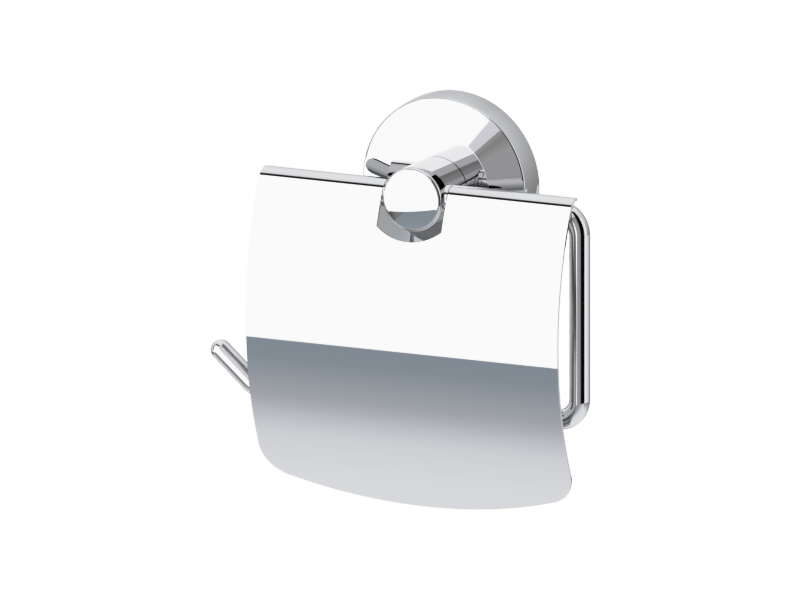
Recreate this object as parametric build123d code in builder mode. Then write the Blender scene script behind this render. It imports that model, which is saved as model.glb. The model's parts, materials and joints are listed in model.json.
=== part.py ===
import os
from math import asin, atan2, cos, degrees, radians, sin, sqrt

from build123d import *

# Wall-hung toilet paper holder with a hinged lid, in millimetres.
# +Z is up, -Y points out of the wall and +X to the viewer's right.
# The origin is on the wall, on the axis shared by the flange and the post.

# Holder rod: one bent round bar, all in a plane parallel to the wall
rod_d = 8.0
rod_off_wall = 31.0  # rod axis to wall
leg_x = 67.15  # right leg's axis to the post's axis
bar_drop = 80.9  # upper bar's axis to the lower bar's
rod_bend_r = 8.75  # both right-hand bends, on the rod's axis
top_bar_left = 63.5  # upper bar's left end, inside the lid's curl
top_bar_chamfer = 0.6
hook_corner_x = 69.3  # where the lower bar's and the hook's lines cross
hook_len = 19.9  # from that corner to the centre of the round end
hook_rise = 41.3  # degrees above the lower bar
hook_bend_r = 9.0

# Post: round bar standing on the flange's seat
post_d = 24.8
post_reach = 40.0  # wall to the middle of the front face
post_dome_r = 72.0
post_edge_r = 1.4
post_foot_chamfer = 0.35  # leaves a fine seam round the post's foot
rod_fit = 0.04  # radial, rod in the post's cross bore
spigot_d = 11.0  # flatted spigot that keeps the post from turning
spigot_flat = 4.2  # spigot's axis to its flat
spigot_fit = 0.1
spigot_short = 0.2  # spigot ends this far below the flange's inner face

# Flange: hollow round cover with a cone face and a flat seat for the post
flange_d = 70.0
flange_h = 16.3  # wall to the seat
flange_wall = 2.0
rim_wall = 3.0
ridge_d = 68.6  # ridge between the rim and the cone
ridge_h = 11.3
ridge_edge_r = 1.2
seat_d = 43.0
seat_edge_r = 0.6

# Wall bracket: disc inside the flange, screwed to the wall
bracket_t = 7.0
bracket_fit = 0.25  # radial, in the flange's bore
bracket_opening_d = 22.0
wall_hole_d = 4.5
wall_hole_sink_d = 9.0
wall_hole_pitch = 38.0
groove_depth = 1.5

# Screws
thread_fit = 0.05  # radial, every screw in its tapped hole
tip_gap = 0.05  # grub screw tip to what it bears on
flange_grub_d = 4.0
flange_grub_off_wall = 3.7
flange_grub_tip_d = 1.6
flange_grub_sunk = 0.9
flange_grub_socket = 2.0
rod_grub_d = 5.0
rod_grub_tip_d = 2.4
rod_grub_sunk = 0.7
rod_grub_socket = 2.5
socket_depth = 2.0
post_screw_d = 6.0
post_screw_head_d = 10.0
post_screw_head_h = 3.4
post_screw_grip = 7.5  # thread held in the post
post_screw_run_out = 0.8  # tapped hole goes this much deeper
post_screw_socket = 4.0
post_screw_hole_fit = 0.2
washer_d = 16.0
washer_t = 1.2

# Lid: curved sheet, its top edge curled round the upper bar
lid_w = 131.7
lid_sheet = 1.15
hinge_fit = 0.4  # radial, curl round the rod
lid_arc_r = 125.0  # outer face
lid_belly = 50.0  # the face stands furthest out this far below the hinge
lid_side_len = 110.6  # hinge to where the sides meet the bottom curve
lid_mid_len = 122.0  # hinge to the lowest point, in the middle
lid_corner_r = 13.0
curl_end = -90.0  # degrees, straight below the rod
notch_gap = 1.25  # post to the notch's sides
notch_drop = 3.2  # below the post
notch_rise = 4.7  # height of the notch's curved bottom
bend_relief = 0.3  # the full curl stops this far short of the rod's bend
curl_end_at_bend = 82.0  # degrees, just behind the top

# Spacers: collars on the rod between the post and the lid's curl
spacer_fit = 0.1  # radial, in the post and on the rod
spacer_sunk = 0.6  # below the post's side at the spacer's top
spacer_gap = 0.2  # to the lid's curl

# Worked out from the sizes above
rod_r = rod_d / 2
post_r = post_d / 2
flange_r = flange_d / 2
flange_bore_r = flange_r - rim_wall
seat_r = seat_d / 2
inner_face_h = flange_h - flange_wall
bracket_r = flange_bore_r - bracket_fit
groove_floor_r = bracket_r - groove_depth
curl_r = rod_r + hinge_fit + lid_sheet
curl_inner_r = rod_r + hinge_fit
notch_half = post_r + notch_gap
notch_depth = post_r + notch_drop
spacer_seat = sqrt(post_r**2 - curl_r**2) - spacer_sunk
spacer_len = notch_half - spacer_gap - spacer_seat
bend_start = leg_x - rod_bend_r


# A circle with a flat across its top, drawn in the sketch that is open
def flatted_circle(radius, flat):
    Circle(radius)
    with Locations((0, flat)):
        Rectangle(2 * radius, radius, align=(Align.CENTER, Align.MIN), mode=Mode.SUBTRACT)


# A socket-head grub screw that starts on the plane and runs along its normal
def grub_screw(plane, diameter, length, tip_d, socket):
    with BuildPart() as screw:
        with BuildSketch(plane):
            Circle(diameter / 2)
        extrude(amount=length)
        tip = screw.faces().sort_by(Axis(plane.origin, plane.z_dir))[-1]
        chamfer(tip.edges(), length=(diameter - tip_d) / 2)
        with BuildSketch(plane):
            RegularPolygon(socket / 2, 6, major_radius=False)
        extrude(amount=socket_depth, mode=Mode.SUBTRACT)
    return screw


# Wall bracket, with a groove round its edge for the flange's grub screw
groove_floor_half = flange_grub_tip_d / 2 + tip_gap
groove_mouth_half = groove_floor_half + groove_depth
with BuildPart() as wall_bracket:
    with BuildSketch(Plane.XY):
        with BuildLine():
            Polyline(
                (bracket_opening_d / 2, 0),
                (bracket_r, 0),
                (bracket_r, groove_mouth_half - flange_grub_off_wall),
                (groove_floor_r, groove_floor_half - flange_grub_off_wall),
                (groove_floor_r, -groove_floor_half - flange_grub_off_wall),
                (bracket_r, -groove_mouth_half - flange_grub_off_wall),
                (bracket_r, -bracket_t),
                (bracket_opening_d / 2, -bracket_t),
                close=True,
            )
        make_face()
    revolve(axis=Axis.Y)
    with Locations(Plane.XZ.offset(bracket_t)):
        with GridLocations(wall_hole_pitch, wall_hole_pitch, 2, 1):
            CounterSinkHole(wall_hole_d / 2, wall_hole_sink_d / 2)

# Flange, turned about the post's axis
with BuildPart() as flange:
    with BuildSketch(Plane.XY) as flange_section:
        with BuildLine():
            TangentArc((flange_r, 0), (ridge_d / 2, -ridge_h), tangent=(0, -1))
            Polyline(
                (ridge_d / 2, -ridge_h),
                (seat_r, -flange_h),
                (0, -flange_h),
                (0, -inner_face_h),
                (seat_r - flange_wall / 2, -inner_face_h),
                (flange_bore_r, flange_wall - ridge_h),
                (flange_bore_r, 0),
                (flange_r, 0),
            )
        make_face()
        corners = flange_section.vertices()
        fillet(corners.sort_by_distance((ridge_d / 2, -ridge_h))[0], radius=ridge_edge_r)
        corners = flange_section.vertices()
        fillet(corners.sort_by_distance((seat_r, -flange_h))[0], radius=seat_edge_r)
    revolve(axis=Axis.Y)
    with BuildSketch(Plane.XZ.offset(flange_h)):
        flatted_circle(spigot_d / 2 + spigot_fit, spigot_flat + spigot_fit)
    extrude(amount=-flange_h, mode=Mode.SUBTRACT)
    with BuildSketch(Plane.XY.offset(-flange_r)):
        with Locations((0, -flange_grub_off_wall)):
            Circle(flange_grub_d / 2 + thread_fit)
    extrude(amount=flange_r - groove_floor_r, mode=Mode.SUBTRACT)

# Grub screw in the bottom of the flange's rim
flange_grub_start = flange_r - flange_grub_sunk
flange_grub_screw = grub_screw(
    Plane((0, -flange_grub_off_wall, -flange_grub_start)),
    flange_grub_d,
    flange_grub_start - groove_floor_r - tip_gap,
    flange_grub_tip_d,
    flange_grub_socket,
)

# Post, with its flatted spigot, cross bore, collar seats and tapped holes
post_rim_y = post_reach - post_dome_r + sqrt(post_dome_r**2 - post_r**2)
tapped_depth = post_screw_grip + post_screw_run_out
with BuildPart() as post:
    with BuildSketch(Plane.XY) as post_section:
        with BuildLine():
            Polyline((0, -post_reach), (0, -flange_h), (post_r, -flange_h), (post_r, -post_rim_y))
            TangentArc((0, -post_reach), (post_r, -post_rim_y), tangent=(1, 0))
        make_face()
        rim = post_section.vertices().sort_by_distance((post_r, -post_rim_y))[0]
        fillet(rim, radius=post_edge_r)
        foot = post_section.vertices().sort_by_distance((post_r, -flange_h))[0]
        chamfer(foot, length=post_foot_chamfer)
    revolve(axis=Axis.Y)
    with BuildSketch(Plane.XZ.offset(flange_h)):
        flatted_circle(spigot_d / 2, spigot_flat)
    extrude(amount=spigot_short - flange_wall)
    with BuildSketch(Plane.YZ):
        with Locations((-rod_off_wall, 0)):
            Circle(rod_r + rod_fit)
    extrude(amount=post_r, both=True, mode=Mode.SUBTRACT)
    for side in (-1, 1):
        with BuildSketch(Plane.YZ.offset(side * spacer_seat)):
            with Locations((-rod_off_wall, 0)):
                Circle(curl_r + spacer_fit)
        extrude(amount=side * post_r, mode=Mode.SUBTRACT)
    with BuildSketch(Plane.XZ.offset(inner_face_h)):
        Circle(post_screw_d / 2 + thread_fit)
    extrude(amount=flange_wall + tapped_depth, mode=Mode.SUBTRACT)
    with BuildSketch(Plane.XY.offset(-post_r)):
        with Locations((0, -rod_off_wall)):
            Circle(rod_grub_d / 2 + thread_fit)
    extrude(amount=post_r, mode=Mode.SUBTRACT)

# Washer and screw that hold the post, from inside the flange
with BuildPart() as post_washer:
    with BuildSketch(Plane.XZ.offset(inner_face_h)):
        Circle(washer_d / 2)
        Circle(post_screw_d / 2 + post_screw_hole_fit, mode=Mode.SUBTRACT)
    extrude(amount=-washer_t)

head_seat_h = inner_face_h - washer_t
with BuildPart() as post_screw:
    with BuildSketch(Plane.XZ.offset(head_seat_h)):
        Circle(post_screw_head_d / 2)
    extrude(amount=-post_screw_head_h)
    with BuildSketch(Plane.XZ.offset(head_seat_h)):
        Circle(post_screw_d / 2)
    extrude(amount=washer_t + flange_wall + post_screw_grip)
    with BuildSketch(Plane.XZ.offset(head_seat_h - post_screw_head_h)):
        RegularPolygon(post_screw_socket / 2, 6, major_radius=False)
    extrude(amount=socket_depth, mode=Mode.SUBTRACT)

# Holder rod, swept along straight runs and round bends
hook_tip = (
    -hook_corner_x - hook_len * cos(radians(hook_rise)),
    -bar_drop + hook_len * sin(radians(hook_rise)),
)
with BuildPart() as holder_rod:
    with BuildLine(Plane.XZ.offset(rod_off_wall)) as rod_path:
        FilletPolyline(
            (-top_bar_left, 0),
            (leg_x, 0),
            (leg_x, -bar_drop),
            (-hook_corner_x, -bar_drop),
            hook_tip,
            radius=[rod_bend_r, rod_bend_r, hook_bend_r],
        )
    with BuildSketch(Plane(rod_path.line @ 0, z_dir=rod_path.line % 0)):
        Circle(rod_r)
    sweep()
    cut_end = holder_rod.faces().filter_by(Axis.X).sort_by(Axis.X)[0]
    chamfer(cut_end.edges(), length=top_bar_chamfer)
    with Locations(rod_path.line @ 1):
        Sphere(rod_r)

# Grub screw that locks the rod, from below
rod_grub_start = post_r - rod_grub_sunk
rod_grub_screw = grub_screw(
    Plane((0, -rod_off_wall, -rod_grub_start)),
    rod_grub_d,
    rod_grub_start - rod_r - tip_gap,
    rod_grub_tip_d,
    rod_grub_socket,
)


# Collar on the rod, on the left (-1) or the right (1) of the post
def spacer(side):
    with BuildPart() as collar:
        with BuildSketch(Plane.YZ.offset(side * spacer_seat)):
            with Locations((-rod_off_wall, 0)):
                Circle(curl_r)
                Circle(rod_r + spacer_fit, mode=Mode.SUBTRACT)
        extrude(amount=side * spacer_len)
    return collar


spacer_left = spacer(-1)
spacer_right = spacer(1)

# Lid: the face's arc runs into the curl without a kink, so their centres and that point are in line
hinge = (-rod_off_wall, 0)
arc_centre = (sqrt((lid_arc_r - curl_r) ** 2 - lid_belly**2) - rod_off_wall, -lid_belly)
join_angle = degrees(atan2(hinge[1] - arc_centre[1], hinge[0] - arc_centre[0]))
foot_angle = 180 + degrees(asin((lid_mid_len + lid_sheet - lid_belly) / lid_arc_r))
lid_inner_arc_r = lid_arc_r - lid_sheet
with BuildPart() as lid:
    with BuildSketch(Plane.YZ):
        with BuildLine():
            face = CenterArc(arc_centre, lid_arc_r, join_angle, foot_angle - join_angle)
            back = CenterArc(arc_centre, lid_inner_arc_r, join_angle, foot_angle - join_angle)
            curl = CenterArc(hinge, curl_r, join_angle, curl_end - join_angle)
            bore = CenterArc(hinge, curl_inner_r, join_angle, curl_end - join_angle)
            Line(face @ 1, back @ 1)
            Line(curl @ 1, bore @ 1)
        make_face()
    extrude(amount=lid_w / 2, both=True)
    with BuildSketch(Plane.XZ) as lid_outline:
        with BuildLine():
            Polyline(
                (-lid_w / 2, -lid_side_len),
                (-lid_w / 2, 2 * curl_r),
                (lid_w / 2, 2 * curl_r),
                (lid_w / 2, -lid_side_len),
            )
            ThreePointArc((-lid_w / 2, -lid_side_len), (0, -lid_mid_len), (lid_w / 2, -lid_side_len))
        make_face()
        fillet(lid_outline.vertices().group_by(Axis.Y)[0], radius=lid_corner_r)
        with BuildLine():
            Polyline(
                (-notch_half, notch_rise - notch_depth),
                (-notch_half, 2 * curl_r),
                (notch_half, 2 * curl_r),
                (notch_half, notch_rise - notch_depth),
            )
            ThreePointArc(
                (-notch_half, notch_rise - notch_depth),
                (0, -notch_depth),
                (notch_half, notch_rise - notch_depth),
            )
        make_face(mode=Mode.SUBTRACT)
    extrude(amount=lid_arc_r, mode=Mode.INTERSECT)
    # Over the rod's bend the curl ends just behind the top, so that it can turn past the bend
    with BuildSketch(Plane.YZ.offset(bend_start - bend_relief)):
        with Locations(hinge):
            Rectangle(
                2 * curl_r,
                4 * curl_r,
                rotation=curl_end_at_bend - 90,
                align=(Align.MIN, Align.CENTER),
            )
    extrude(amount=lid_w, mode=Mode.SUBTRACT)

# One file for each piece
pieces = {
    "wall_bracket": wall_bracket,
    "flange": flange,
    "flange_grub_screw": flange_grub_screw,
    "post": post,
    "post_washer": post_washer,
    "post_screw": post_screw,
    "holder_rod": holder_rod,
    "rod_grub_screw": rod_grub_screw,
    "spacer_left": spacer_left,
    "spacer_right": spacer_right,
    "lid": lid,
}
os.makedirs("parts", exist_ok=True)
for name, piece in pieces.items():
    piece.part.label = name
    export_step(piece.part, f"parts/{name}.step")
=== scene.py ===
import json
import math

import bmesh
import bpy
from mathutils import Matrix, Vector


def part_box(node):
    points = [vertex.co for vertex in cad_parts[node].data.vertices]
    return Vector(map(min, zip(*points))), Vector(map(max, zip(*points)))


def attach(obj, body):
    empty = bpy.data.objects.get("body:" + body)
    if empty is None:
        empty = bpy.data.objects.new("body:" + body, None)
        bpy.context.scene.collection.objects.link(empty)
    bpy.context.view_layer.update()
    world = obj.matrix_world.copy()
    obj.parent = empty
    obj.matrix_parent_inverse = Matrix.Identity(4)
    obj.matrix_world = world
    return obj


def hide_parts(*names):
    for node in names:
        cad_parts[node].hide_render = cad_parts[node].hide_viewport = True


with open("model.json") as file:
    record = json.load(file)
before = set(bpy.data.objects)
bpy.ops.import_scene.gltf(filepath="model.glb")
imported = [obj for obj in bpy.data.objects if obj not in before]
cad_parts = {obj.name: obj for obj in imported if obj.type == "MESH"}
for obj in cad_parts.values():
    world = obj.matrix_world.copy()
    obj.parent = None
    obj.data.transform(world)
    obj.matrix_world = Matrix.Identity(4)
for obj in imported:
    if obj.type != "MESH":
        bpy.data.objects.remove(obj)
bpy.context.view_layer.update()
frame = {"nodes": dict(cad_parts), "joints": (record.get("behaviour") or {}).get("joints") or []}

mm = 0.001  # sizes are in millimetres, meshes in metres
hingePlace = Vector(frame["joints"][0]["pos_m"]) / mm  # on the rod's upper bar


# sRGB hex to linear colour
def hexColour(code):
    parts = [int(code[i:i + 2], 16) / 255 for i in (1, 3, 5)]
    linear = [p / 12.92 if p <= 0.04045 else ((p + 0.055) / 1.055) ** 2.4 for p in parts]
    return (*linear, 1)


# values and links into a node's sockets
def feed(tree, node, inputs):
    for key, value in inputs.items():
        if isinstance(value, bpy.types.NodeSocket):
            tree.links.new(value, node.inputs[key])
        else:
            node.inputs[key].default_value = value


# adds one node, with its settings, its values and what is linked to it
def addNode(tree, kind, inputs=None, **settings):
    node = tree.nodes.new(kind)
    for key, value in settings.items():
        setattr(node, key, value)
    feed(tree, node, inputs or {})
    return node


def boxInMm(node):
    low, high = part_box(node)
    return Vector(low) / mm, Vector(high) / mm


print("frame loaded:", ", ".join(frame["nodes"]))


# materials

def newMaterial(name):
    material = bpy.data.materials.new(name)
    material.use_nodes = True
    tree = material.node_tree
    return material, tree, tree.nodes["Principled BSDF"]


def perMm(size):
    return 1 / (size * mm)


# chrome plate on a casting or a turned bar, buffed on a wheel: a hard clean mirror a little darker
# than what it shows, whose reflections waver faintly where the metal under the plate is uneven
castChromeLook = {
    "tints": ("#CECFD1", "#D1D1D1"),
    "grazing": "#EEEEEF",  # holds back the brightening at a slant
    "tintPatch": 25.0,
    "haze": (0.01, 0.03),
    "hazePatch": 9.0,
    "hazeSpan": (0.35, 0.7),  # of the noise
    "hazeDetail": 4,
    "hazeSwirl": 0.6,
    "waveLength": 7.0,
    "waveDepth": 0.0012,
    "waveDetail": 1,
}


def makeCastChrome(look):
    material, tree, shader = newMaterial("chrome_plate_on_casting")
    place = addNode(tree, "ShaderNodeTexCoord").outputs["Object"]
    patches = addNode(tree, "ShaderNodeTexNoise", {
        "Vector": place, "Scale": perMm(look["tintPatch"])})
    tint = addNode(tree, "ShaderNodeMix", {
        0: patches.outputs["Fac"], 6: hexColour(look["tints"][0]), 7: hexColour(look["tints"][1])},
        data_type="RGBA")
    smears = addNode(tree, "ShaderNodeTexNoise", {
        "Vector": place, "Scale": perMm(look["hazePatch"]), "Detail": look["hazeDetail"],
        "Distortion": look["hazeSwirl"]})
    low, high = look["hazeSpan"]
    haze = addNode(tree, "ShaderNodeMapRange", {
        0: smears.outputs["Fac"], 1: low, 2: high, 3: look["haze"][0], 4: look["haze"][1]})
    waves = addNode(tree, "ShaderNodeTexNoise", {
        "Vector": place, "Scale": perMm(look["waveLength"]), "Detail": look["waveDetail"]})
    bump = addNode(tree, "ShaderNodeBump", {
        "Strength": 1, "Distance": look["waveDepth"] * mm, "Height": waves.outputs["Fac"]})
    feed(tree, shader, {"Base Color": tint.outputs[2], "Metallic": 1, "Roughness": haze.outputs[0],
                        "Specular Tint": hexColour(look["grazing"]), "Normal": bump.outputs[0]})
    return material


# chrome plate on drawn rod: the same mirror, with the faintest draw lines along the bar, which
# stretch a highlight lengthwise; they are drawn wider than real ones so that they can show
rodChromeLook = {
    "colour": "#D0D0D1",
    "grazing": "#EEEEEF",
    "haze": (0.01, 0.035),
    "lineWidth": 0.5,
    "lineLength": 90.0,
    "lineDepth": 0.00005,
    "lineSpan": (0.35, 0.75),
    "lineDetail": 3,
}


def makeRodChrome(look):
    material, tree, shader = newMaterial("chrome_plate_on_drawn_rod")
    around = addNode(tree, "ShaderNodeAttribute", attribute_name="aroundRod").outputs["Vector"]
    along = addNode(tree, "ShaderNodeAttribute", attribute_name="alongRod").outputs["Fac"]
    lengthwise = addNode(tree, "ShaderNodeCombineXYZ", {"Z": along})
    narrow = addNode(tree, "ShaderNodeVectorMath", {0: around, "Scale": perMm(look["lineWidth"])},
                     operation="SCALE")
    longer = addNode(tree, "ShaderNodeVectorMath", {
        0: lengthwise.outputs[0], "Scale": perMm(look["lineLength"])}, operation="SCALE")
    place = addNode(tree, "ShaderNodeVectorMath", {0: narrow.outputs[0], 1: longer.outputs[0]})
    lines = addNode(tree, "ShaderNodeTexNoise", {
        "Vector": place.outputs[0], "Scale": 1, "Detail": look["lineDetail"]})
    low, high = look["lineSpan"]
    haze = addNode(tree, "ShaderNodeMapRange", {
        0: lines.outputs["Fac"], 1: low, 2: high, 3: look["haze"][0], 4: look["haze"][1]})
    bump = addNode(tree, "ShaderNodeBump", {
        "Strength": 1, "Distance": look["lineDepth"] * mm, "Height": lines.outputs["Fac"]})
    feed(tree, shader, {"Base Color": hexColour(look["colour"]), "Metallic": 1,
                        "Specular Tint": hexColour(look["grazing"]),
                        "Roughness": haze.outputs[0], "Normal": bump.outputs[0]})
    return material


# chrome plate on rolled sheet: a flat bright mirror, with weak streaks across from the rolls and
# a slow sway in what it reflects
sheetChromeLook = {
    "tints": ("#CFCFD1", "#D1D1D1"),
    "grazing": "#EEEEEF",
    "haze": (0.01, 0.028),
    "streakLength": 140.0,
    "streakWidth": 1.6,
    "streakSpan": (0.35, 0.7),
    "streakDetail": 3,
    "swayLength": 40.0,
    "swayDepth": 0.002,
    "swayDetail": 0,
}


def makeSheetChrome(look):
    material, tree, shader = newMaterial("chrome_plate_on_rolled_sheet")
    place = addNode(tree, "ShaderNodeTexCoord").outputs["Object"]
    long, wide = perMm(look["streakLength"]), perMm(look["streakWidth"])
    stretched = addNode(tree, "ShaderNodeMapping", {"Vector": place, "Scale": (long, wide, wide)})
    streaks = addNode(tree, "ShaderNodeTexNoise", {
        "Vector": stretched.outputs[0], "Scale": 1, "Detail": look["streakDetail"]})
    tint = addNode(tree, "ShaderNodeMix", {
        0: streaks.outputs["Fac"], 6: hexColour(look["tints"][0]), 7: hexColour(look["tints"][1])},
        data_type="RGBA")
    low, high = look["streakSpan"]
    haze = addNode(tree, "ShaderNodeMapRange", {
        0: streaks.outputs["Fac"], 1: low, 2: high, 3: look["haze"][0], 4: look["haze"][1]})
    sway = addNode(tree, "ShaderNodeTexNoise", {
        "Vector": place, "Scale": perMm(look["swayLength"]), "Detail": look["swayDetail"]})
    bump = addNode(tree, "ShaderNodeBump", {
        "Strength": 1, "Distance": look["swayDepth"] * mm, "Height": sway.outputs["Fac"]})
    feed(tree, shader, {"Base Color": tint.outputs[2], "Metallic": 1, "Roughness": haze.outputs[0],
                        "Specular Tint": hexColour(look["grazing"]), "Normal": bump.outputs[0]})
    return material


# bare zinc die casting: dull mid grey, mottled by the flow of the metal, with a fine grain
zincLook = {
    "tints": ("#7E8083", "#A0A2A4"),
    "mottle": 5.0,
    "mottleSpan": (0.3, 0.7),
    "mottleDetail": 5,
    "mottleSwirl": 1.2,
    "roughness": (0.42, 0.62),
    "grain": 0.5,
    "grainDepth": 0.03,
    "grainStrength": 0.6,
    "grainDetail": 2,
}


def makeZinc(look):
    material, tree, shader = newMaterial("zinc_die_casting")
    place = addNode(tree, "ShaderNodeTexCoord").outputs["Object"]
    mottle = addNode(tree, "ShaderNodeTexNoise", {
        "Vector": place, "Scale": perMm(look["mottle"]), "Detail": look["mottleDetail"],
        "Distortion": look["mottleSwirl"]})
    tint = addNode(tree, "ShaderNodeMix", {
        0: mottle.outputs["Fac"], 6: hexColour(look["tints"][0]), 7: hexColour(look["tints"][1])},
        data_type="RGBA")
    low, high = look["mottleSpan"]
    dull = addNode(tree, "ShaderNodeMapRange", {
        0: mottle.outputs["Fac"], 1: low, 2: high, 3: look["roughness"][0], 4: look["roughness"][1]})
    grain = addNode(tree, "ShaderNodeTexNoise", {
        "Vector": place, "Scale": perMm(look["grain"]), "Detail": look["grainDetail"]})
    bump = addNode(tree, "ShaderNodeBump", {
        "Strength": look["grainStrength"], "Distance": look["grainDepth"] * mm,
        "Height": grain.outputs["Fac"]})
    feed(tree, shader, {"Base Color": tint.outputs[2], "Metallic": 1, "Roughness": dull.outputs[0],
                        "Normal": bump.outputs[0]})
    return material


# zinc-plated steel: silvery with a thin yellow-blue bloom from the passivation, half bright
platedLook = {
    "tints": ("#A9B0B6", "#C9C4AE"),
    "bloom": 2.2,
    "bloomDetail": 2,
    "roughness": (0.24, 0.4),
    "grit": 0.25,
    "gritSpan": (0.3, 0.7),
    "gritDepth": 0.008,
    "gritStrength": 0.5,
    "gritDetail": 2,
}


def makePlatedSteel(look):
    material, tree, shader = newMaterial("zinc_plated_steel")
    place = addNode(tree, "ShaderNodeTexCoord").outputs["Object"]
    bloom = addNode(tree, "ShaderNodeTexNoise", {
        "Vector": place, "Scale": perMm(look["bloom"]), "Detail": look["bloomDetail"]})
    tint = addNode(tree, "ShaderNodeMix", {
        0: bloom.outputs["Fac"], 6: hexColour(look["tints"][0]), 7: hexColour(look["tints"][1])},
        data_type="RGBA")
    grit = addNode(tree, "ShaderNodeTexNoise", {
        "Vector": place, "Scale": perMm(look["grit"]), "Detail": look["gritDetail"]})
    low, high = look["gritSpan"]
    dull = addNode(tree, "ShaderNodeMapRange", {
        0: grit.outputs["Fac"], 1: low, 2: high, 3: look["roughness"][0], 4: look["roughness"][1]})
    bump = addNode(tree, "ShaderNodeBump", {
        "Strength": look["gritStrength"], "Distance": look["gritDepth"] * mm,
        "Height": grit.outputs["Fac"]})
    feed(tree, shader, {"Base Color": tint.outputs[2], "Metallic": 1, "Roughness": dull.outputs[0],
                        "Normal": bump.outputs[0]})
    return material


castChrome = makeCastChrome(castChromeLook)
rodChrome = makeRodChrome(rodChromeLook)
sheetChrome = makeSheetChrome(sheetChromeLook)
hiddenFinishes = {
    "wall_bracket": makeZinc(zincLook),
    "flange_grub_screw": makePlatedSteel(platedLook),
}
for node in ("rod_grub_screw", "post_screw", "post_washer"):
    hiddenFinishes[node] = hiddenFinishes["flange_grub_screw"]
for node, finish in hiddenFinishes.items():  # pieces whose modelled shape is already right
    for slot in frame["nodes"][node].material_slots:
        slot.material = finish
print("materials made")


# mesh helpers

# close to both ends, so that a long face shades flat
holdFractions = (0, 0.02, 0.1, 0.35, 0.65, 0.9, 0.98, 1)


def straightRun(start, end):
    return [tuple(s + (e - s) * t for s, e in zip(start, end)) for t in holdFractions]


def arcRun(centre, radius, startDegrees, endDegrees, steps):
    turn = (endDegrees - startDegrees) / steps
    angles = [math.radians(startDegrees + turn * i) for i in range(steps + 1)]
    return [(centre[0] + radius * math.cos(a), centre[1] + radius * math.sin(a)) for a in angles]


def roundedCorner(before, corner, after, radius, steps=8):
    corner = Vector(corner)
    ways = [(Vector(spot) - corner).normalized() for spot in (before, after)]
    halfAngle = ways[0].angle(ways[1]) / 2
    centre = corner + (ways[0] + ways[1]).normalized() * radius / math.sin(halfAngle)
    spokes = [corner + way * radius / math.tan(halfAngle) - centre for way in ways]
    start, end = [math.degrees(math.atan2(s.y, s.x)) for s in spokes]
    end = start + (end - start + 180) % 360 - 180  # the short way round
    return arcRun(centre, radius, start, end, steps)


# spots round the post's axis, round the hinge, and round an upright line at some y
def aboutPostAxis(radius, along, angle):
    return Vector((radius * math.cos(angle), along, radius * math.sin(angle))) * mm


def aboutHinge(radius, along, angle):
    return (hingePlace + Vector((along, radius * math.cos(angle), radius * math.sin(angle)))) * mm


def aboutUpright(y):
    def place(radius, along, angle):
        return Vector((radius * math.cos(angle), y + radius * math.sin(angle), along)) * mm
    return place


# a plain round bar, for cutting a hole
def barLoop(radius, start, end):
    return [(0, start), (radius, start), (radius, end), (0, end)]


def shadeSmooth(mesh, sharpDegrees=35):
    mesh.shade_smooth()
    mesh.set_sharp_from_angle(angle=math.radians(sharpDegrees))


def makePiece(name, build, material):
    bmesh.ops.recalc_face_normals(build, faces=build.faces)
    mesh = bpy.data.meshes.new(name)
    build.to_mesh(mesh)
    build.free()
    mesh.materials.append(material)
    shadeSmooth(mesh)
    piece = bpy.data.objects.new(name, mesh)
    bpy.context.scene.collection.objects.link(piece)
    return piece


# turns a closed loop of (radius, along) points round an axis
def turnedPiece(name, loop, place, steps, material):
    build = bmesh.new()
    rings = []
    for radius, along in loop:
        count = steps if radius > 0 else 1  # a single point on the axis
        rings.append([build.verts.new(place(radius, along, math.tau * i / steps)) for i in range(count)])
    for ring, following in zip(rings, rings[1:] + rings[:1]):
        for i in range(steps):
            j = (i + 1) % steps
            corners = [ring[i % len(ring)], ring[j % len(ring)]]
            corners += [following[j % len(following)], following[i % len(following)]]
            corners = list(dict.fromkeys(corners))
            if len(corners) > 2:
                build.faces.new(corners)
    return makePiece(name, build, material)


def evaluatedMesh(piece):
    return bpy.data.meshes.new_from_object(piece.evaluated_get(bpy.context.evaluated_depsgraph_get()))


# cuts the cutters out of the piece and removes them
def cutHoles(piece, cutters):
    for cutter in cutters:
        hole = piece.modifiers.new("hole", "BOOLEAN")
        hole.object = cutter
        hole.operation = "DIFFERENCE"
        hole.solver = "EXACT"
    mesh = evaluatedMesh(piece)
    piece.modifiers.clear()
    piece.data = mesh
    shadeSmooth(mesh)
    for cutter in cutters:
        bpy.data.objects.remove(cutter)


def standFor(piece, node, body):
    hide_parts(node)
    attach(piece, body)


# flange: turned cover with a curved rim, a cone and a flat seat

flangeSizes = {
    "wall": 2.0,
    "rimWall": 3.0,
    "ridgeRadius": 34.3,
    "ridgeHeight": 11.3,
    "ridgeRound": 1.2,
    "seatRadius": 21.5,
    "seatRound": 0.6,
    "spigotHole": 5.6,
    "grubHole": 2.05,
    "grubOffWall": 3.7,
    "cutPast": 1.0,
    "turnSteps": 256,
    "rimSteps": 24,
    "holeSteps": 64,
}


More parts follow.
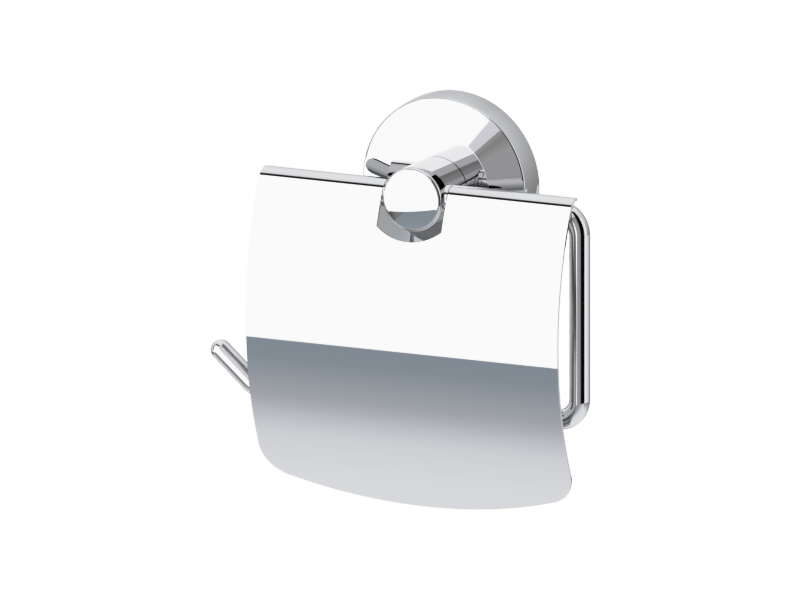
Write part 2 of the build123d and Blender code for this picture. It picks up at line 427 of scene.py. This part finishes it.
def makeFlange(size):
    low, high = boxInMm("flange")
    outer, seatHeight = high.x, -low.y
    ridge = (size["ridgeRadius"], -size["ridgeHeight"])
    seatEdge = (size["seatRadius"], -seatHeight)
    inset = outer - ridge[0]
    rimArc = (inset ** 2 + ridge[1] ** 2) / (2 * inset)  # leaves the wall square, ends in the ridge
    rimEnd = -math.degrees(math.asin(size["ridgeHeight"] / rimArc))
    rim = arcRun((outer - rimArc, 0), rimArc, 0, rimEnd, size["rimSteps"])
    bore = outer - size["rimWall"]
    innerFace = size["wall"] - seatHeight
    ridgeRound = roundedCorner(rim[-2], ridge, seatEdge, size["ridgeRound"])
    seatRound = roundedCorner(ridge, seatEdge, (0, -seatHeight), size["seatRound"])
    loop = rim[:-1] + ridgeRound
    loop += straightRun(ridgeRound[-1], seatRound[0])[1:-1] + seatRound
    loop += straightRun(seatRound[-1], (size["spigotHole"], -seatHeight))[1:]
    loop += [(size["spigotHole"], innerFace), (size["seatRadius"] - size["wall"] / 2, innerFace)]
    loop += [(bore, size["wall"] - size["ridgeHeight"]), (bore, 0)]
    flange = turnedPiece("flange_cover", loop, aboutPostAxis, size["turnSteps"], castChrome)
    past = size["cutPast"]
    grubLoop = barLoop(size["grubHole"], -outer - past, size["rimWall"] + past - outer)
    place = aboutUpright(-size["grubOffWall"])
    cutHoles(flange, [turnedPiece("grubCutter", grubLoop, place, size["holeSteps"], castChrome)])
    standFor(flange, "flange", "holder")


makeFlange(flangeSizes)
print("flange made")


# post: turned bar with a domed front, bored across for the rod

postSizes = {
    "domeRadius": 72.0,
    "edgeRadius": 1.4,
    "footChamfer": 0.35,
    "spigotRadius": 5.5,
    "screwHole": 3.05,
    "screwHoleDepth": 8.3,
    "rodBore": 4.04,
    "collarSeat": 5.65,
    "grubHole": 2.55,
    "cutPast": 1.0,
    "turnSteps": 256,
    "edgeSteps": 12,
    "domeSteps": 28,
    "boreSteps": 96,
    "holeSteps": 64,
    "roundWithin": 0.001,
}


def makePost(size):
    low, high = boxInMm("post")
    radius, reach, spigotEnd = high.x, -low.y, high.y
    seat = boxInMm("flange")[0].y
    dome = size["domeRadius"]
    rimHeight = reach - dome + math.sqrt(dome ** 2 - radius ** 2)
    rim = (radius, -rimHeight)
    rimSlope = math.asin(radius / dome)
    inDome = (rim[0] - math.cos(rimSlope), rim[1] - math.sin(rimSlope))  # along the dome's tangent
    rimRound = roundedCorner((radius, seat), rim, inDome, size["edgeRadius"], size["edgeSteps"])
    domeStart = math.degrees(math.acos(rimRound[-1][0] / dome))
    front = arcRun((0, dome - reach), dome, -domeStart, -90, size["domeSteps"])
    holeEnd = seat - size["screwHoleDepth"]
    spigot = [(size["spigotRadius"], spigotEnd), (size["spigotRadius"], seat)]
    foot = size["footChamfer"]
    side = [(radius - foot, seat)] + straightRun((radius, seat - foot), rimRound[0])[:-1]
    hole = [(0, holeEnd), (size["screwHole"], holeEnd), (size["screwHole"], spigotEnd)]
    loop = spigot + side + rimRound + front[1:-1] + [(0, -reach)] + hole
    post = turnedPiece("post_bar", loop, aboutPostAxis, size["turnSteps"], castChrome)
    collarEnd = boxInMm("spacer_right")[0].x
    past = radius + size["cutPast"]
    boreLoops = [barLoop(size["rodBore"], -past, past)]
    boreLoops += [barLoop(size["collarSeat"], hand * collarEnd, hand * past) for hand in (-1, 1)]
    steps = size["boreSteps"]
    cutters = [turnedPiece("boreCutter", bore, aboutHinge, steps, castChrome) for bore in boreLoops]
    grubLoop = barLoop(size["grubHole"], -past, 0)
    place = aboutUpright(hingePlace.y)
    cutters.append(turnedPiece("grubCutter", grubLoop, place, size["holeSteps"], castChrome))
    cutHoles(post, cutters)

    # true round shading on the side, also beside the holes
    mesh = post.data
    normals = [Vector(n.vector) for n in mesh.corner_normals]
    for face in mesh.polygons:
        spots = [mesh.vertices[v].co for v in face.vertices]
        offSide = [abs(math.hypot(s.x, s.z) - radius * mm) for s in spots]
        if max(offSide) < size["roundWithin"] * mm:
            for corner, spot in zip(face.loop_indices, spots):
                normals[corner] = Vector((spot.x, 0, spot.z)).normalized()
    mesh.normals_split_custom_set(normals)
    standFor(post, "post", "holder")


makePost(postSizes)
print("post made")


# collars on the rod, beside the post

spacerSizes = {"boreRadius": 4.1, "edgeRadius": 0.12, "edgeSteps": 4, "turnSteps": 128}


def makeSpacer(node, size):
    low, high = boxInMm(node)
    outer, bore = high.z, size["boreRadius"]
    corners = [(bore, low.x), (outer, low.x), (outer, high.x), (bore, high.x)]
    loop = []
    for i, corner in enumerate(corners):
        after = corners[(i + 1) % len(corners)]
        loop += roundedCorner(corners[i - 1], corner, after, size["edgeRadius"], size["edgeSteps"])
    spacer = turnedPiece(node + "_collar", loop, aboutHinge, size["turnSteps"], castChrome)
    standFor(spacer, node, "holder")


for node in ("spacer_left", "spacer_right"):
    makeSpacer(node, spacerSizes)
print("spacers made")


# holder rod: a round section swept along straight runs and bends

rodSizes = {
    "topBarLeft": 63.5,
    "chamfer": 0.6,
    "bendRadius": 8.75,
    "hookCorner": 69.3,
    "hookLength": 19.9,
    "hookRise": 41.3,
    "hookBend": 9.0,
    "roundSides": 96,
    "bendSteps": 48,
    "tipSteps": 14,
    "tipSwing": 89.0,  # degrees, just short of a point
    "mergeWithin": 0.001,
}


def rodTree(mergeWithin):
    tree = bpy.data.node_groups.new("sweepRod", "GeometryNodeTree")
    sockets = (("Geometry", "Geometry"), ("Rod Radius", "Float"), ("Round Sides", "Int"),
               ("Bend Steps", "Int"), ("Finish", "Material"))
    for name, kind in sockets:
        tree.interface.new_socket(name, in_out="INPUT", socket_type="NodeSocket" + kind)
    tree.interface.new_socket("Geometry", in_out="OUTPUT", socket_type="NodeSocketGeometry")
    given = addNode(tree, "NodeGroupInput").outputs
    bend = addNode(tree, "GeometryNodeInputNamedAttribute", {"Name": "bendRadius"}, data_type="FLOAT")
    thick = addNode(tree, "GeometryNodeInputNamedAttribute", {"Name": "thickness"}, data_type="FLOAT")
    path = addNode(tree, "GeometryNodeMeshToCurve", {"Mesh": given["Geometry"]})
    bent = addNode(tree, "GeometryNodeFilletCurve", {
        "Curve": path.outputs[0], "Count": given["Bend Steps"], "Radius": bend.outputs[0]}, mode="POLY")
    along = addNode(tree, "GeometryNodeSplineParameter").outputs["Length"]
    marked = addNode(tree, "GeometryNodeStoreNamedAttribute", {
        "Geometry": bent.outputs[0], "Name": "alongRod", "Value": along}, data_type="FLOAT")
    circle = addNode(tree, "GeometryNodeCurvePrimitiveCircle", {
        "Resolution": given["Round Sides"], "Radius": given["Rod Radius"]})
    around = addNode(tree, "GeometryNodeInputPosition").outputs[0]
    section = addNode(tree, "GeometryNodeStoreNamedAttribute", {
        "Geometry": circle.outputs[0], "Name": "aroundRod", "Value": around}, data_type="FLOAT_VECTOR")
    swept = addNode(tree, "GeometryNodeCurveToMesh", {
        "Curve": marked.outputs[0], "Profile Curve": section.outputs[0],
        "Scale": thick.outputs[0], "Fill Caps": True})
    merged = addNode(tree, "GeometryNodeMergeByDistance", {
        "Geometry": swept.outputs[0], "Distance": mergeWithin * mm})
    whole = addNode(tree, "GeometryNodeRealizeInstances", {"Geometry": merged.outputs[0]})
    finished = addNode(tree, "GeometryNodeSetMaterial", {
        "Geometry": whole.outputs[0], "Material": given["Finish"]})
    addNode(tree, "NodeGroupOutput", {"Geometry": finished.outputs[0]})
    return tree


def makeRod(size):
    low, high = boxInMm("holder_rod")
    radius = (high.y - low.y) / 2
    legX = high.x - radius
    barZ = low.z + radius
    rise = math.radians(size["hookRise"])
    along = Vector((-math.cos(rise), 0, math.sin(rise)))
    hookCorner = Vector((-size["hookCorner"], 0, barZ))
    hookTip = hookCorner + along * size["hookLength"]
    cut = size["chamfer"]
    route = [  # place, bend radius, thickness
        (Vector((-size["topBarLeft"], 0, 0)), 0, 1 - cut / radius),
        (Vector((cut - size["topBarLeft"], 0, 0)), 0, 1),
        (Vector((legX, 0, 0)), size["bendRadius"], 1),
        (Vector((legX, 0, barZ)), size["bendRadius"], 1),
        (hookCorner, size["hookBend"], 1),
    ]
    for i in range(size["tipSteps"]):
        swing = math.radians(size["tipSwing"] * i / (size["tipSteps"] - 1))  # round end
        route.append((hookTip + along * radius * math.sin(swing), 0, math.cos(swing)))
    offWall = Vector((0, hingePlace.y, 0))
    mesh = bpy.data.meshes.new("holder_rod_bar")
    spots = [(place + offWall) * mm for place, bend, thick in route]
    mesh.from_pydata(spots, [(i, i + 1) for i in range(len(route) - 1)], [])
    for name, column, unit in (("bendRadius", 1, mm), ("thickness", 2, 1)):
        layer = mesh.attributes.new(name, "FLOAT", "POINT")
        layer.data.foreach_set("value", [row[column] * unit for row in route])
    rod = bpy.data.objects.new("holder_rod_bar", mesh)
    bpy.context.scene.collection.objects.link(rod)
    sweep = rod.modifiers.new("sweep", "NODES")
    sweep.node_group = rodTree(size["mergeWithin"])
    values = {"Rod Radius": radius * mm, "Round Sides": size["roundSides"],
              "Bend Steps": size["bendSteps"], "Finish": rodChrome}
    for item in sweep.node_group.interface.items_tree:
        if item.in_out == "INPUT" and item.name in values:
            sweep[item.identifier] = values[item.name]
    swept = evaluatedMesh(rod)
    rod.modifiers.clear()
    rod.data = swept
    shadeSmooth(swept)
    standFor(rod, "holder_rod", "holder")


makeRod(rodSizes)
print("holder rod made")


# lid: curved sheet, its top edge curled round the rod

lidSizes = {
    "sheet": 1.15,
    "arcRadius": 125.0,
    "belly": 50.0,
    "sideLength": 110.6,
    "cornerRadius": 13.0,
    "cornerTurns": (15, 40, 52, 62, 71, 78, 84),  # degrees, where columns meet the round corner
    "curlEnd": -90.0,  # degrees, straight below the rod
    "reliefFrom": 58.1,  # right of this the curl ends just behind the top
    "reliefEnd": 82.0,
    "notchHalf": 13.65,
    "notchDepth": 15.6,
    "notchRise": 4.7,
    "edgeRound": 0.12,
    "edgeProfile": ((0.03, 0.55), (0.07, 0.87), (0.11, 1), (0.15, 1), (0.85, 1), (0.89, 1), (0.93, 0.87),
                    (0.97, 0.55)),  # shares across the sheet, and of the edge's rounding outwards
    "columnStep": 1.3,
    "rowStep": 1.0,
    "curlStep": 3.0,  # degrees
    "sharpDegrees": 60,
    "placeDigits": 5,  # places this close are one vertex
}


def archRadius(half, rise):
    return (half ** 2 + rise ** 2) / (2 * rise)


def spread(start, end, step):
    count = max(1, round(abs(end - start) / step))
    return [start + (end - start) * i / count for i in range(count + 1)]


# the sheet's outline stops short by the rounding of its edges, which the rim then adds
def makeLid(size):
    low, high = boxInMm("lid")
    half, midLength, curl = high.x, -low.z, high.z
    sheet, arc, belly, edge = size["sheet"], size["arcRadius"], size["belly"], size["edgeRound"]
    arcCentre = Vector((math.sqrt((arc - curl) ** 2 - belly ** 2) + hingePlace.y, -belly))
    curlCentre = Vector((hingePlace.y, hingePlace.z))
    joinAngle = math.atan2(belly, hingePlace.y - arcCentre.x)
    joinZ = arcCentre.y + arc * math.sin(joinAngle)
    bottomArc = archRadius(half, midLength - size["sideLength"])
    bottomCentre = bottomArc - midLength
    corner = size["cornerRadius"]
    cornerX = half - corner
    cornerZ = bottomCentre - math.sqrt((bottomArc - corner) ** 2 - cornerX ** 2)
    cornerFrom = cornerX * (bottomArc - edge) / (bottomArc - corner)
    notchArc = archRadius(size["notchHalf"], size["notchRise"])
    notchCentre = notchArc - size["notchDepth"]
    notchX = size["notchHalf"] + edge
    reliefX = size["reliefFrom"] - edge

    def bottomEdge(x):
        if abs(x) > cornerFrom:
            return cornerZ - math.sqrt(max(0, (corner - edge) ** 2 - (abs(x) - cornerX) ** 2))
        return bottomCentre - math.sqrt((bottomArc - edge) ** 2 - x ** 2)

    def topEdge(x):
        return notchCentre - math.sqrt((notchArc + edge) ** 2 - min(abs(x), notchX) ** 2)

    cornerColumns = [cornerX + (corner - edge) * math.sin(math.radians(a)) for a in size["cornerTurns"]]
    rightColumns = spread(notchX, cornerX, size["columnStep"]) + cornerColumns + [reliefX, half - edge]
    rightColumns.sort()
    leftColumns = [-x for x in reversed(rightColumns)]
    midColumns = spread(-notchX, notchX, size["columnStep"])
    allColumns = leftColumns + midColumns[1:-1] + rightColumns

    outer, inner, outward, found, faces = [], [], [], {}, []

    def spot(x, centre, way, radius):  # one vertex on the outer face and its twin on the inner
        outside = centre + way * radius
        inside = centre + way * (radius - sheet)
        key = tuple(round(value, size["placeDigits"]) for value in (x, *outside))
        if key not in found:
            found[key] = len(outer)
            outer.append(Vector((x, outside.x, outside.y)))
            inner.append(Vector((x, inside.x, inside.y)))
            outward.append(Vector((0, way.x, way.y)))
        return found[key]

    def onFace(x, fraction, fromZ, toZ):
        start, end = [math.pi - math.asin((z + belly) / arc) for z in (fromZ, toZ)]
        angle = start + (end - start) * fraction
        return spot(x, arcCentre, Vector((math.cos(angle), math.sin(angle))), arc)

    def onCurl(x, angle):
        return spot(x, curlCentre, Vector((math.cos(angle), math.sin(angle))), curl)

    def addPatch(columns, rows, place):
        grid = [[place(x, row) for row in rows] for x in columns]
        for here, there in zip(grid, grid[1:]):
            for i in range(len(rows) - 1):
                faces.append((here[i], here[i + 1], there[i + 1], there[i]))

    curlStep = math.radians(size["curlStep"])
    endShort = edge / curl  # radians
    overEnd = math.radians(size["reliefEnd"]) + endShort
    backEnd = math.radians(size["curlEnd"]) + endShort
    notchSide = topEdge(notchX)
    lowRows = spread(0, 1, size["rowStep"] / (midLength + notchSide))
    highRows = spread(0, 1, size["rowStep"] / (joinZ - notchSide))
    overRows = spread(overEnd, joinAngle, curlStep)
    backRows = spread(backEnd, overEnd, curlStep)
    addPatch(allColumns, lowRows, lambda x, t: onFace(x, t, topEdge(x), bottomEdge(x)))
    for columns in (leftColumns, rightColumns):
        addPatch(columns, highRows, lambda x, t: onFace(x, t, joinZ, notchSide))
        addPatch(columns, overRows, onCurl)
        addPatch([x for x in columns if x <= reliefX], backRows, onCurl)

    # rounded rim all along the sheet's free edge
    edgeUse = {}
    for face in faces:
        for a, b in zip(face, face[1:] + face[:1]):
            edgeUse.setdefault(frozenset((a, b)), []).append((a, b))
    rimEdges = [uses[0] for uses in edgeUse.values() if len(uses) == 1]
    offEdge = {}
    for a, b in rimEdges:
        side = (outer[b] - outer[a]).cross(outward[a] + outward[b]).normalized()
        for spotIndex in (a, b):
            offEdge.setdefault(spotIndex, []).append(side)
    count = len(outer)
    spots = outer + inner
    profile = size["edgeProfile"]
    rim = {}
    for index, (first, second) in offEdge.items():
        away = (first + second) / (1 + first.dot(second))
        rim[index] = [index]
        for across, out in profile:
            rim[index].append(len(spots))
            spots.append(outer[index].lerp(inner[index], across) + away * edge * out)
        rim[index].append(index + count)
    walls = []
    for a, b in rimEdges:
        for i in range(len(profile) + 1):
            walls.append((rim[b][i], rim[a][i], rim[a][i + 1], rim[b][i + 1]))
    backs = [tuple(i + count for i in reversed(face)) for face in faces]
    mesh = bpy.data.meshes.new("lid")
    mesh.from_pydata([s * mm for s in spots], [], faces + backs + walls)
    build = bmesh.new()
    build.from_mesh(mesh)
    bpy.data.meshes.remove(mesh)
    lid = makePiece("lid_sheet", build, sheetChrome)
    shadeSmooth(lid.data, size["sharpDegrees"])
    normals = [Vector(n.vector) for n in lid.data.corner_normals]
    for loop in lid.data.loops:
        if loop.vertex_index < count:
            normals[loop.index] = outward[loop.vertex_index]
        elif loop.vertex_index < 2 * count:
            normals[loop.index] = -outward[loop.vertex_index - count]
    lid.data.normals_split_custom_set(normals)
    standFor(lid, "lid", "lid")


makeLid(lidSizes)
print("lid made")


# camera at the photograph's angle, a parallel view

cameraSizes = {
    "azimuth": 26.15,
    "elevation": 12.36,
    "frameWidth": 303.3,
    "target": (-8.76, -31.0, -41.2),
    "distance": 1000.0,
}


def makeCamera(size):
    azimuth, elevation = math.radians(size["azimuth"]), math.radians(size["elevation"])
    back = Vector((math.sin(azimuth) * math.cos(elevation), -math.cos(azimuth) * math.cos(elevation),
                   math.sin(elevation)))
    data = bpy.data.cameras.new("camera")
    data.type = "ORTHO"
    data.ortho_scale = size["frameWidth"] * mm
    camera = bpy.data.objects.new("camera", data)
    camera.location = (Vector(size["target"]) + back * size["distance"]) * mm
    camera.rotation_euler = (-back).to_track_quat("-Z", "Y").to_euler()
    bpy.context.scene.collection.objects.link(camera)
    bpy.context.scene.camera = camera


makeCamera(cameraSizes)
print("camera set")


# studio: an all-round light painted by direction, which is what the chrome reflects. A direction is
# degrees right of straight ahead and degrees up, as seen from the object

studioSizes = {
    "strength": 2.06,
    "seenWhite": 1.5,  # the plain background, seen straight
    "frontEnds": (74, 84),  # degrees, where the front fades into the back, either side
    "backMiddle": (-0.4, 0.0),  # shares of straight right, where the two back walls meet
    "softEdge": 0.25,  # degrees
    "shadeSpan": (0.73, 0.9),  # shares of straight back, where the back walls darken
    "shadeDepth": 0.77,
}
roomBands = {  # degrees up and colour
    "front": ((-90, "#FFFFFF"), (41.5, "#FFFFFF"), (44, "#141415"), (55.5, "#141415"), (58.5, "#BBBCBD"),
              (90, "#C4C5C6")),
    "leftBack": ((-62, "#C0C1C3"), (-54, "#6C6D6F"), (-33, "#717274"), (-26, "#4C4D4F"), (-14, "#68696B"),
                 (-3, "#B4B5B7"), (30, "#B9BABC"), (46, "#C3C4C5")),
    "rightBack": ((-38, "#BEBFC1"), (-20, "#777879"), (-12, "#777879"), (6, "#939496"), (23, "#A5A6A8"),
                  (41, "#AFB0B1"), (60, "#C0C1C3")),
}
groundCard = {
    "corners": ((0, -14.4), (-80, -15.24)),
    "bands": ((0, "#727A82"), (6, "#747C83"), (14, "#868A8F"), (18, "#8D9195"), (26, "#AAABAF"),
              (30, "#B2B3B5"), (42, "#BABBBD")),
}
# corners go round counterclockwise; a card has one colour, or bands by degrees away from its first edge
studioCards = (
    {"corners": ((-46, -18.86), (-46, -26.7), (-31.5, -19.19)),  # shade at the ground's left
     "bands": ((0, "#101010"), (1, "#141414"), (5.5, "#565554"), (8, "#6B6867"))},
    {"corners": ((-1, 11.7), (38, 40.5), (38, 52), (-2.4, 52)),  # pale panel
     "bands": ((0, "#B0AFB4"), (12, "#B3B2B6"))},
    {"corners": ((38, 40.5), (-1, 11.7), (-6, -18.7), (38, -18.7)),  # grey panel below it
     "bands": ((0, "#858282"), (3.5, "#716F6F"), (9.5, "#838283"), (18, "#818185"))},
    {"corners": ((25, -10), (28, -10), (28, 15), (25, 15)), "colour": "#9D9D9F"},  # light strip
    {"corners": ((28, -18.7), (38, -18.7), (38, 40.5), (28, 20)), "colour": "#68686A"},  # panel's dark end
    {"corners": ((80, -18.7), (80, 62), (37.5, 62), (37.5, -18.7)), "colour": "#060606"},  # black flag
    {"corners": ((-66.5, -5), (-66.5, 50), (-80, 50), (-80, -5)), "colour": "#060606"},  # narrow black flag
    {"corners": ((80, -18.7), (112, -18.7), (112, 40), (80, 40)), "colour": "#CBCBCC"},  # pale side
    {"corners": ((102, -9), (102, -17), (141, -17), (141, -9)),  # its low end, fading round to the back
     "bands": ((0, "#C0C0C2"), (16, "#BABBBD"), (33, "#B0B1B3"))},
    {"corners": ((150.5, -9.5), (150.5, -15.5), (157.5, -15.5), (157.5, -9.5)),  # for the lid's right edge
     "colour": "#A8A9AB"},
    {"corners": ((-137, -12), (-116, -12), (-116, 13), (-137, 13)), "colour": "#525254"},  # left back, dark
    {"corners": ((-118, -17), (-86, -17), (-86, -8), (-118, -8)), "colour": "#9C9D9F"},  # left, low
    {"corners": ((-84, -34), (-66.5, -34), (-66.5, -15), (-84, -15)), "colour": "#8D8E90"},  # left front, low
    {"corners": ((-125, -50), (-84, -50), (-84, -30), (-125, -30)), "colour": "#C0C1C3"},  # left, lowest
)


def toward(degreesRight, degreesUp):
    right, up = math.radians(degreesRight), math.radians(degreesUp)
    return Vector((math.sin(right) * math.cos(up), -math.cos(right) * math.cos(up), math.sin(up)))


def makeStudio(size):
    world = bpy.data.worlds.new("studio")
    world.use_nodes = True
    bpy.context.scene.world = world
    tree = world.node_tree
    tree.nodes.clear()
    way = addNode(tree, "ShaderNodeTexCoord").outputs["Generated"]
    parts = addNode(tree, "ShaderNodeSeparateXYZ", {0: way}).outputs
    ahead = addNode(tree, "ShaderNodeMath", {0: parts["Y"], 1: -1}, operation="MULTIPLY").outputs[0]
    azimuth = addNode(tree, "ShaderNodeMath", {0: parts["X"], 1: ahead}, operation="ARCTAN2").outputs[0]
    aside = addNode(tree, "ShaderNodeMath", {0: azimuth}, operation="ABSOLUTE").outputs[0]

    # colours laid out along an angle, whose sine is given
    def paint(sine, stops):
        angle = addNode(tree, "ShaderNodeMath", {0: sine}, operation="ARCSINE").outputs[0]
        place = addNode(tree, "ShaderNodeMapRange", {0: angle, 1: -math.pi / 2, 2: math.pi / 2}).outputs[0]
        ramp = addNode(tree, "ShaderNodeValToRGB", {0: place})
        elements = ramp.color_ramp.elements
        for i, (degrees, colour) in enumerate(stops):
            spot = (degrees + 90) / 180
            element = elements[i] if i < 2 else elements.new(spot)
            element.position = spot
            element.color = hexColour(colour)
        return ramp.outputs[0]

    # a card in front of what is there so far
    def hang(card, room):
        share, offEdge = 1, []
        corners = card["corners"]
        for i, corner in enumerate(corners if len(corners) > 2 else corners[:1]):
            inward = toward(*corner).cross(toward(*corners[(i + 1) % len(corners)])).normalized()
            offEdge.append(addNode(tree, "ShaderNodeVectorMath", {0: way, 1: inward},
                                   operation="DOT_PRODUCT").outputs["Value"])
            soft = math.radians(size["softEdge"])
            inside = addNode(tree, "ShaderNodeMapRange", {0: offEdge[-1], 1: -soft, 2: soft},
                             interpolation_type="SMOOTHSTEP").outputs[0]
            share = addNode(tree, "ShaderNodeMath", {0: inside, 1: share}, operation="MULTIPLY").outputs[0]
        colour = paint(offEdge[0], card["bands"]) if "bands" in card else hexColour(card["colour"])
        return addNode(tree, "ShaderNodeMix", {0: share, 6: room, 7: colour}, data_type="RGBA").outputs[2]

    walls = {name: paint(parts["Z"], stops) for name, stops in roomBands.items()}
    starts, ends = [math.radians(a) for a in size["frontEnds"]]
    toRight = addNode(tree, "ShaderNodeMapRange", {
        0: parts["X"], 1: size["backMiddle"][0], 2: size["backMiddle"][1]},
        interpolation_type="SMOOTHSTEP").outputs[0]
    toBack = addNode(tree, "ShaderNodeMapRange", {0: aside, 1: starts, 2: ends},
                     interpolation_type="SMOOTHSTEP").outputs[0]
    back = addNode(tree, "ShaderNodeMix", {0: toRight, 6: walls["leftBack"], 7: walls["rightBack"]},
                   data_type="RGBA").outputs[2]
    shade = addNode(tree, "ShaderNodeMapRange", {
        0: parts["Y"], 1: size["shadeSpan"][0], 2: size["shadeSpan"][1], 3: 1, 4: size["shadeDepth"]})
    back = addNode(tree, "ShaderNodeVectorMath", {0: back, "Scale": shade.outputs[0]},
                   operation="SCALE").outputs["Vector"]
    room = addNode(tree, "ShaderNodeMix", {0: toBack, 6: hang(groundCard, walls["front"]), 7: back},
                   data_type="RGBA").outputs[2]
    for card in studioCards:
        room = hang(card, room)
    seen = addNode(tree, "ShaderNodeBackground", {"Color": (1, 1, 1, 1), "Strength": size["seenWhite"]})
    lit = addNode(tree, "ShaderNodeBackground", {"Color": room, "Strength": size["strength"]})
    straight = addNode(tree, "ShaderNodeLightPath").outputs["Is Camera Ray"]
    shown = addNode(tree, "ShaderNodeMixShader", {0: straight, 1: lit.outputs[0], 2: seen.outputs[0]})
    addNode(tree, "ShaderNodeOutputWorld", {"Surface": shown.outputs[0]})


makeStudio(studioSizes)
print("studio made")


# floor and one soft lamp over it; the chrome shows neither, only the studio

floorSizes = {
    "drop": 550.0,
    "half": 9000.0,
    "tints": ("#F1F0EE", "#F7F6F5"),
    "mottle": 120.0,
    "mottleDetail": 4,
    "roughness": 0.9,
    "lampHeight": 1500.0,
    "lampStrength": 2.5,
    "lampAngle": 40.0,
}


# matt emulsion on board: off-white, with the faint mottle a roller leaves
def makeFloorPaint(look):
    material, tree, shader = newMaterial("matt_emulsion_paint")
    place = addNode(tree, "ShaderNodeTexCoord").outputs["Object"]
    mottle = addNode(tree, "ShaderNodeTexNoise", {
        "Vector": place, "Scale": perMm(look["mottle"]), "Detail": look["mottleDetail"]})
    tint = addNode(tree, "ShaderNodeMix", {
        0: mottle.outputs["Fac"], 6: hexColour(look["tints"][0]), 7: hexColour(look["tints"][1])},
        data_type="RGBA")
    feed(tree, shader, {"Base Color": tint.outputs[2], "Roughness": look["roughness"]})
    return material


def makeFloor(size):
    build = bmesh.new()
    half = size["half"] * mm
    ends = ((-1, -1), (1, -1), (1, 1), (-1, 1))
    spots = [build.verts.new((x * half, y * half, -size["drop"] * mm)) for x, y in ends]
    build.faces.new(spots)
    floor = makePiece("studio_floor", build, makeFloorPaint(size))
    floor.visible_glossy = False
    data = bpy.data.lights.new("lamp", "SUN")
    data.energy = size["lampStrength"]
    data.angle = math.radians(size["lampAngle"])
    lamp = bpy.data.objects.new("lamp", data)
    lamp.location = (0, 0, size["lampHeight"] * mm)
    lamp.visible_glossy = False
    bpy.context.scene.collection.objects.link(lamp)


makeFloor(floorSizes)
print("floor and lamp made")


# film: plain colours with a soft shoulder, so that white chrome stays just under the background's white

shoulder = {"whiteAt": 1.5, "points": ((0.267, 0.4), (0.533, 0.8), (0.867, 0.956))}


def setFilm(look):
    view = bpy.context.scene.view_settings
    view.view_transform = "Standard"
    view.use_curve_mapping = True
    curves = view.curve_mapping
    curves.white_level = [look["whiteAt"]] * 3
    for place, value in look["points"]:
        curves.curves[3].points.new(place, value)  # the curve for all three colours
    curves.update()


setFilm(shoulder)
print("film set")
